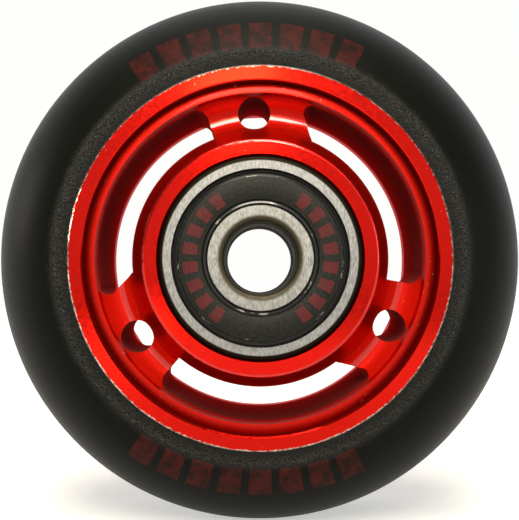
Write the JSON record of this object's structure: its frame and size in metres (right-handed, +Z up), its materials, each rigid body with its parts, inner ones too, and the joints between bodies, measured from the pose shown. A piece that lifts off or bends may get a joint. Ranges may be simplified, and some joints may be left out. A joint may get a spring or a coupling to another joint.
{
  "type": "inline skate wheel",
  "caption": "Aggressive inline skate wheel: rounded urethane tyre on a slotted spoked metal core, turning on sealed ball bearings with a spacer on the axle.",
  "frame": {"origin": "centre of the wheel, on the axle's axis, midway between the two bearings", "axes": "+Y along the axle, away from the pictured face; +Z up; the front face is towards -Y"},
  "size_m": [0.06, 0.024, 0.06],
  "materials": {
    "tyre": "satin",
    "anodised_core": "gloss",
    "spacer_aluminium": "satin",
    "bearing_steel": "polished",
    "inner_race_steel": "ground",
    "ball_steel": "polished",
    "seal_rubber": "satin",
    "plate_steel": "satin",
    "cage_nylon": "matte"
  },
  "bodies": {
    "axle_side": {"spacer": "spacer_aluminium", "front_inner_race": "inner_race_steel", "rear_inner_race": "inner_race_steel"},
    "wheel": {"tyre": "tyre", "core": "anodised_core", "front_outer_race": "bearing_steel", "front_outboard_seal": "seal_rubber", "front_outboard_seal_plate": "plate_steel", "front_inboard_seal": "seal_rubber", "front_inboard_seal_plate": "plate_steel", "rear_outer_race": "bearing_steel", "rear_outboard_seal": "seal_rubber", "rear_outboard_seal_plate": "plate_steel", "rear_inboard_seal": "seal_rubber", "rear_inboard_seal_plate": "plate_steel"},
    "front_cage": {"front_cage": "cage_nylon"},
    "front_ball_1": {"front_ball_1": "ball_steel"},
    "front_ball_2": {"front_ball_2": "ball_steel"},
    "front_ball_3": {"front_ball_3": "ball_steel"},
    "front_ball_4": {"front_ball_4": "ball_steel"},
    "front_ball_5": {"front_ball_5": "ball_steel"},
    "front_ball_6": {"front_ball_6": "ball_steel"},
    "front_ball_7": {"front_ball_7": "ball_steel"},
    "rear_cage": {"rear_cage": "cage_nylon"},
    "rear_ball_1": {"rear_ball_1": "ball_steel"},
    "rear_ball_2": {"rear_ball_2": "ball_steel"},
    "rear_ball_3": {"rear_ball_3": "ball_steel"},
    "rear_ball_4": {"rear_ball_4": "ball_steel"},
    "rear_ball_5": {"rear_ball_5": "ball_steel"},
    "rear_ball_6": {"rear_ball_6": "ball_steel"},
    "rear_ball_7": {"rear_ball_7": "ball_steel"}
  },
  "joints": [
    {"name": "wheel_spin", "type": "hinge", "parent": "axle_side", "child": "wheel", "pos_m": [0, 0, 0], "axis": [0, 1, 0], "continuous": true},
    {"name": "front_cage_spin", "type": "hinge", "parent": "axle_side", "child": "front_cage", "pos_m": [0, -0.0085, 0], "axis": [0, 1, 0], "continuous": true},
    {"name": "front_ball_1_roll", "type": "hinge", "parent": "front_cage", "child": "front_ball_1", "pos_m": [0, -0.0085, 0.0075], "axis": [0, 1, 0], "continuous": true},
    {"name": "front_ball_2_roll", "type": "hinge", "parent": "front_cage", "child": "front_ball_2", "pos_m": [-0.00586, -0.0085, 0.00468], "axis": [0, 1, 0], "continuous": true},
    {"name": "front_ball_3_roll", "type": "hinge", "parent": "front_cage", "child": "front_ball_3", "pos_m": [-0.00731, -0.0085, -0.00167], "axis": [0, 1, 0], "continuous": true},
    {"name": "front_ball_4_roll", "type": "hinge", "parent": "front_cage", "child": "front_ball_4", "pos_m": [-0.00325, -0.0085, -0.00676], "axis": [0, 1, 0], "continuous": true},
    {"name": "front_ball_5_roll", "type": "hinge", "parent": "front_cage", "child": "front_ball_5", "pos_m": [0.00325, -0.0085, -0.00676], "axis": [0, 1, 0], "continuous": true},
    {"name": "front_ball_6_roll", "type": "hinge", "parent": "front_cage", "child": "front_ball_6", "pos_m": [0.00731, -0.0085, -0.00167], "axis": [0, 1, 0], "continuous": true},
    {"name": "front_ball_7_roll", "type": "hinge", "parent": "front_cage", "child": "front_ball_7", "pos_m": [0.00586, -0.0085, 0.00468], "axis": [0, 1, 0], "continuous": true},
    {"name": "rear_cage_spin", "type": "hinge", "parent": "axle_side", "child": "rear_cage", "pos_m": [0, 0.0085, 0], "axis": [0, 1, 0], "continuous": true},
    {"name": "rear_ball_1_roll", "type": "hinge", "parent": "rear_cage", "child": "rear_ball_1", "pos_m": [0, 0.0085, 0.0075], "axis": [0, 1, 0], "continuous": true},
    {"name": "rear_ball_2_roll", "type": "hinge", "parent": "rear_cage", "child": "rear_ball_2", "pos_m": [-0.00586, 0.0085, 0.00468], "axis": [0, 1, 0], "continuous": true},
    {"name": "rear_ball_3_roll", "type": "hinge", "parent": "rear_cage", "child": "rear_ball_3", "pos_m": [-0.00731, 0.0085, -0.00167], "axis": [0, 1, 0], "continuous": true},
    {"name": "rear_ball_4_roll", "type": "hinge", "parent": "rear_cage", "child": "rear_ball_4", "pos_m": [-0.00325, 0.0085, -0.00676], "axis": [0, 1, 0], "continuous": true},
    {"name": "rear_ball_5_roll", "type": "hinge", "parent": "rear_cage", "child": "rear_ball_5", "pos_m": [0.00325, 0.0085, -0.00676], "axis": [0, 1, 0], "continuous": true},
    {"name": "rear_ball_6_roll", "type": "hinge", "parent": "rear_cage", "child": "rear_ball_6", "pos_m": [0.00731, 0.0085, -0.00167], "axis": [0, 1, 0], "continuous": true},
    {"name": "rear_ball_7_roll", "type": "hinge", "parent": "rear_cage", "child": "rear_ball_7", "pos_m": [0.00586, 0.0085, 0.00468], "axis": [0, 1, 0], "continuous": true}
  ],
  "couplings": [
    {"joint": "front_cage_spin", "follows": "wheel_spin", "ratio": 0.6323},
    {"joint": "front_ball_1_roll", "follows": "wheel_spin", "ratio": 1.7573},
    {"joint": "front_ball_2_roll", "follows": "wheel_spin", "ratio": 1.7573},
    {"joint": "front_ball_3_roll", "follows": "wheel_spin", "ratio": 1.7573},
    {"joint": "front_ball_4_roll", "follows": "wheel_spin", "ratio": 1.7573},
    {"joint": "front_ball_5_roll", "follows": "wheel_spin", "ratio": 1.7573},
    {"joint": "front_ball_6_roll", "follows": "wheel_spin", "ratio": 1.7573},
    {"joint": "front_ball_7_roll", "follows": "wheel_spin", "ratio": 1.7573},
    {"joint": "rear_cage_spin", "follows": "wheel_spin", "ratio": 0.6323},
    {"joint": "rear_ball_1_roll", "follows": "wheel_spin", "ratio": 1.7573},
    {"joint": "rear_ball_2_roll", "follows": "wheel_spin", "ratio": 1.7573},
    {"joint": "rear_ball_3_roll", "follows": "wheel_spin", "ratio": 1.7573},
    {"joint": "rear_ball_4_roll", "follows": "wheel_spin", "ratio": 1.7573},
    {"joint": "rear_ball_5_roll", "follows": "wheel_spin", "ratio": 1.7573},
    {"joint": "rear_ball_6_roll", "follows": "wheel_spin", "ratio": 1.7573},
    {"joint": "rear_ball_7_roll", "follows": "wheel_spin", "ratio": 1.7573}
  ]
}
